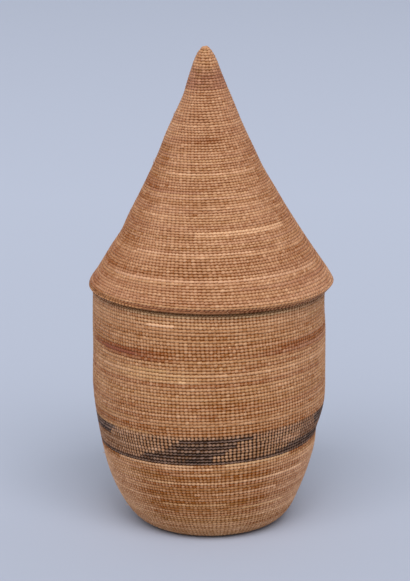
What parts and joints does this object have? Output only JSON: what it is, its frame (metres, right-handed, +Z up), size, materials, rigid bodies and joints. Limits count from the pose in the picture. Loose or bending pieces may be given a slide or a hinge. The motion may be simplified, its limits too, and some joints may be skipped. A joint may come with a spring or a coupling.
{
  "type": "lidded basket",
  "caption": "Finely twined round basket with a dark dyed band and a tall pointed lid that lifts straight off its mouth.",
  "frame": {"origin": "middle of the flat underside of the base, in the plane the basket stands on", "axes": "+Z up along the basket's axis to the lid's tip; +X is the side that the woven rows rise towards; -Y is the side seen in the picture"},
  "size_m": [0.1266, 0.1266, 0.2503],
  "materials": {
    "natural_fibre": "dry plant fibre, fine twined weave, matt with a slight straw sheen",
    "dyed_fibre": "black-dyed plant fibre mixed with natural stitches, matt",
    "reddish_fibre": "darker reddish plant fibre, matt",
    "olive_fibre": "olive-grey plant fibre, matt",
    "edge_fibre": "flat whipped plant fibre, slight straw sheen",
    "cane": "split cane hoop, plain",
    "sewing_thread": "twisted plant thread, matt",
    "stake_ends": "gathered ends of thin stakes, plain"
  },
  "bodies": {
    "basket": {"base_start": "natural_fibre", "base_disc": "natural_fibre", "wall_lower": "natural_fibre", "wall_band": "dyed_fibre", "wall_upper": "natural_fibre", "rim_binding": "olive_fibre", "rim_hoop": "cane", "collar": "natural_fibre", "collar_binding": "cane", "collar_stitching": "sewing_thread"},
    "lid": {"lid_edge_binding": "edge_fibre", "lid_edge_hoop": "cane", "lid_cone": "natural_fibre", "lid_dyed_rows": "reddish_fibre", "lid_tip_cap": "natural_fibre", "lid_stake_bundle": "stake_ends"}
  },
  "joints": [
    {"name": "lid_lift", "type": "slide", "parent": "basket", "child": "lid", "axis": [0, 0, 1], "range_m": [0, 0.06]}
  ]
}
